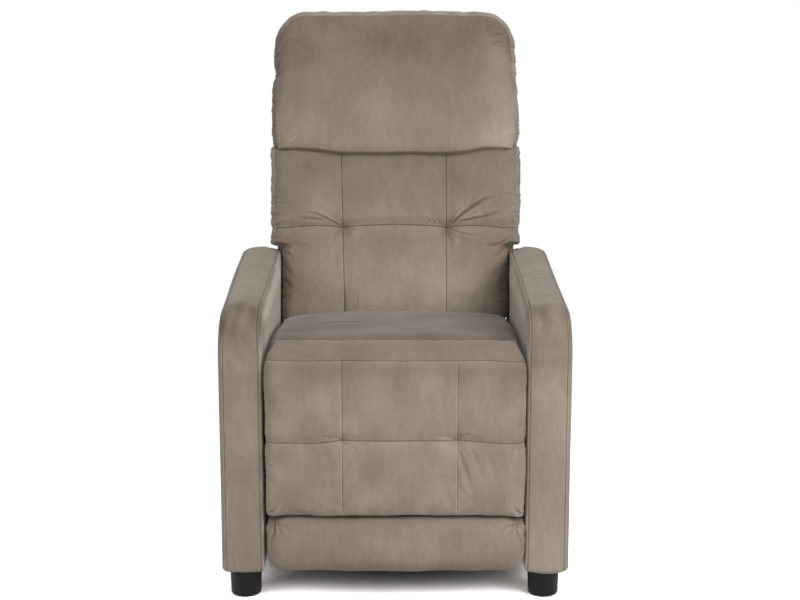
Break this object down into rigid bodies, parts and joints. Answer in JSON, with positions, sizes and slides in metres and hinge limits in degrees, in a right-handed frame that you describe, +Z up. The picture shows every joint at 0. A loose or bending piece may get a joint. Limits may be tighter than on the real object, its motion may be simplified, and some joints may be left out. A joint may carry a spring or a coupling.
{
  "type": "push-back recliner chair",
  "caption": "Upholstered push-back recliner with slim padded arms, a raked tufted back, a padded headrest and a fold-out tufted footrest carried on steel links.",
  "frame": {"origin": "on the floor under the middle of the chair's outline, closed and upright", "axes": "+Z up, -Y the way the chair faces, +X to the right as seen from in front"},
  "size_m": [0.64, 0.7982, 1.0711],
  "materials": {
    "velvet": "taupe velvet with a soft nap",
    "timber": "sanded pine and plywood",
    "dark_steel": "dark grey powder coat",
    "bright_steel": "zinc plated",
    "black_plastic": "satin black",
    "black_cloth": "black non-woven cloth and webbing"
  },
  "bodies": {
    "base": {"arm_frame_left": "timber", "arm_frame_right": "timber", "arm_upholstery_left": "velvet", "arm_upholstery_right": "velvet", "feet": "black_plastic", "foot_bolts": "bright_steel", "front_rail": "timber", "rear_rail": "timber", "rear_panel": "velvet", "dust_cover": "black_cloth", "corner_brackets": "bright_steel", "base_plate_left": "dark_steel", "base_plate_right": "dark_steel", "base_pivots": "bright_steel", "arm_bolts": "bright_steel"},
    "rear_hangers": {"rear_hanger_left": "dark_steel", "rear_hanger_right": "dark_steel"},
    "front_hangers": {"front_hanger_left": "dark_steel", "front_hanger_right": "dark_steel"},
    "seat": {"seat_frame": "timber", "seat_springs": "bright_steel", "spring_clips": "black_plastic", "seat_cushion": "velvet", "seat_front_border": "velvet", "seat_plate_left": "dark_steel", "seat_plate_right": "dark_steel", "seat_pivots": "bright_steel", "seat_bolts": "bright_steel"},
    "back_links": {"back_link_left": "dark_steel", "back_link_right": "dark_steel", "back_link_pivots": "bright_steel"},
    "back": {"back_frame": "timber", "back_webbing": "black_cloth", "lumbar_cushion": "velvet", "headrest_cushion": "velvet", "outer_back": "velvet", "back_bracket_left": "dark_steel", "back_bracket_right": "dark_steel", "back_bolts": "bright_steel"},
    "front_links": {"front_link_left": "dark_steel", "front_link_right": "dark_steel", "cross_tube": "dark_steel", "front_link_pivots": "bright_steel"},
    "rear_links": {"rear_link_left": "dark_steel", "rear_link_right": "dark_steel"},
    "outer_links": {"outer_link_left": "dark_steel", "outer_link_right": "dark_steel", "outer_link_pivots": "bright_steel"},
    "inner_links": {"inner_link_left": "dark_steel", "inner_link_right": "dark_steel"},
    "footrest": {"footrest_board": "timber", "footrest_pad": "velvet", "footrest_roll": "velvet", "footrest_bracket_left": "dark_steel", "footrest_bracket_right": "dark_steel", "footrest_pivots": "bright_steel", "footrest_bolts": "bright_steel"}
  },
  "joints": [
    {"name": "recline", "type": "hinge", "parent": "base", "child": "rear_hangers", "pos_m": [0, 0.17623, 0.3], "axis": [1, 0, 0], "range_deg": [-40, 0]},
    {"name": "front_hanger_swing", "type": "hinge", "parent": "base", "child": "front_hangers", "pos_m": [0, -0.03377, 0.3], "axis": [1, 0, 0], "range_deg": [-40, 0]},
    {"name": "seat_glide", "type": "hinge", "parent": "rear_hangers", "child": "seat", "pos_m": [0, 0.17623, 0.19], "axis": [1, 0, 0], "range_deg": [0, 40]},
    {"name": "back_hinge", "type": "hinge", "parent": "seat", "child": "back", "pos_m": [0, 0.14123, 0.362], "axis": [1, 0, 0], "range_deg": [-40, 0]},
    {"name": "back_link_swing", "type": "hinge", "parent": "rear_hangers", "child": "back_links", "pos_m": [0, 0.17623, 0.25], "axis": [1, 0, 0], "range_deg": [0, 40]},
    {"name": "footrest_open", "type": "hinge", "parent": "seat", "child": "front_links", "pos_m": [0, -0.25877, 0.356], "axis": [1, 0, 0], "range_deg": [-90, 0]},
    {"name": "rear_link_swing", "type": "hinge", "parent": "seat", "child": "rear_links", "pos_m": [0, -0.19877, 0.341], "axis": [1, 0, 0], "range_deg": [-90, 0]},
    {"name": "outer_link_glide", "type": "hinge", "parent": "front_links", "child": "outer_links", "pos_m": [0, -0.15271, 0.2296], "axis": [1, 0, 0], "range_deg": [0, 90]},
    {"name": "footrest_tilt", "type": "hinge", "parent": "outer_links", "child": "footrest", "pos_m": [0, -0.28877, 0.353], "axis": [1, 0, 0], "range_deg": [-90, 0]},
    {"name": "inner_link_swing", "type": "hinge", "parent": "front_links", "child": "inner_links", "pos_m": [0, -0.15271, 0.1596], "axis": [1, 0, 0], "range_deg": [0, 90]}
  ],
  "couplings": [
    {"joint": "front_hanger_swing", "follows": "recline", "ratio": 1},
    {"joint": "seat_glide", "follows": "recline", "ratio": -1},
    {"joint": "back_hinge", "follows": "recline", "ratio": 1},
    {"joint": "back_link_swing", "follows": "recline", "ratio": -1},
    {"joint": "rear_link_swing", "follows": "footrest_open", "ratio": 1},
    {"joint": "outer_link_glide", "follows": "footrest_open", "ratio": -1},
    {"joint": "footrest_tilt", "follows": "footrest_open", "ratio": 1},
    {"joint": "inner_link_swing", "follows": "footrest_open", "ratio": -1}
  ]
}
